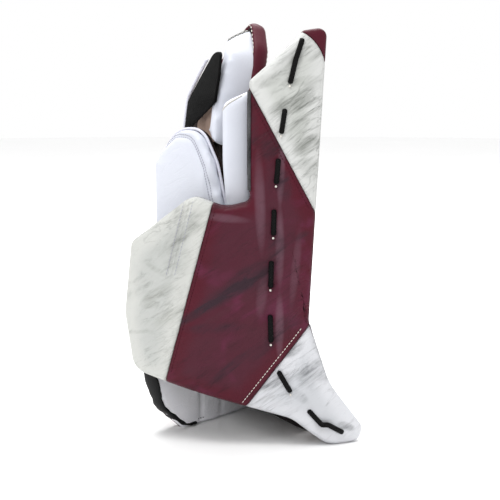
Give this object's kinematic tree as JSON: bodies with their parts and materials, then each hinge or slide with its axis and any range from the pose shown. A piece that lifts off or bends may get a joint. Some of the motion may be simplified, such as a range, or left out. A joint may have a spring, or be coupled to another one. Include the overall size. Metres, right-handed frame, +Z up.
{
  "type": "goalie catch glove",
  "caption": "Ice hockey goalie catch glove standing on its cuff, with a hinged thumb and cuff wall, laced edge, pocket net, finger stalls, wrist guard pad and wrist strap.",
  "frame": {"origin": "centre of the bounding box's bottom, on the surface the glove stands on", "axes": "+Z up from the cuff to the fingertips, +X towards the thumb's free edge, +Y from the thumb wall towards the little finger"},
  "size_m": [0.237, 0.1896, 0.405],
  "materials": {
    "white_leather": "smooth white synthetic leather, scuffed",
    "maroon_leather": "deep maroon synthetic leather, scuffed",
    "black_leather": "black binding leather",
    "foam": "stiff foam padding under the leather",
    "black_liner": "brushed nylon liner",
    "beige_liner": "soft beige knit",
    "black_mesh": "black spacer fabric",
    "lace": "waxed black lace",
    "net": "braided nylon cord net",
    "webbing": "woven nylon strap",
    "hook_and_loop": "hook and loop tape",
    "grey_binding": "dark grey brushed tape",
    "ring_plastic": "moulded black plastic"
  },
  "bodies": {
    "palm": {"palm_leather": "white_leather", "palm_core": "foam", "palm_lining": "black_liner", "finger_leather": "white_leather", "finger_core": "foam", "finger_lining": "black_liner", "finger_edge_roll": "maroon_leather", "heel_gusset": "black_liner", "break_web": "black_leather", "index_side_pad": "white_leather", "backhand_panel": "black_mesh", "backhand_piping": "white_leather", "index_stall": "beige_liner", "middle_stall": "beige_liner", "ring_little_stall": "beige_liner", "far_wing_leather": "maroon_leather", "far_wing_core": "foam", "far_wing_lining": "white_leather", "far_wing_binding": "black_leather", "wrist_back_band": "black_liner", "wrist_strap": "webbing", "strap_loop_patch": "hook_and_loop", "strap_ring": "ring_plastic", "ring_tab": "black_leather", "pocket_bar": "maroon_leather", "pocket_stem": "maroon_leather", "net_thumb_side": "net", "net_index_side": "net"},
    "thumb_cuff": {"thumb_tip_cap": "maroon_leather", "thumb_face_panel": "white_leather", "cuff_main_panel": "maroon_leather", "cuff_wing_panel": "white_leather", "heel_tip_panel": "white_leather", "thumb_cuff_core": "foam", "thumb_cuff_lining": "white_leather", "thumb_edge_binding": "grey_binding", "perimeter_lace": "lace", "thumb_back_roll": "white_leather", "thumb_stall": "beige_liner"},
    "wrist_guard": {"wrist_guard_pad": "white_leather", "wrist_guard_lining": "black_liner", "wrist_guard_piping": "white_leather"},
    "strap_tail_end": {"strap_tail": "webbing", "strap_hook_patch": "hook_and_loop"}
  },
  "joints": [
    {"name": "glove_close", "type": "hinge", "parent": "palm", "child": "thumb_cuff", "pos_m": [0.0361, -0.0675, 0], "axis": [0, 0, 1], "range_deg": [0, 30], "deforming": ["heel_gusset", "break_web", "pocket_bar", "pocket_stem", "net_thumb_side", "net_index_side"]},
    {"name": "wrist_guard_flap", "type": "hinge", "parent": "palm", "child": "wrist_guard", "pos_m": [-0.0475, -0.0175, 0.198], "axis": [0.8354, -0.5496, 0], "range_deg": [0, 16]},
    {"name": "strap_peel", "type": "hinge", "parent": "palm", "child": "strap_tail_end", "pos_m": [-0.0919, -0.0018, 0.119], "axis": [-0.0678, 0.1148, 0.9911], "range_deg": [0, 60]}
  ]
}
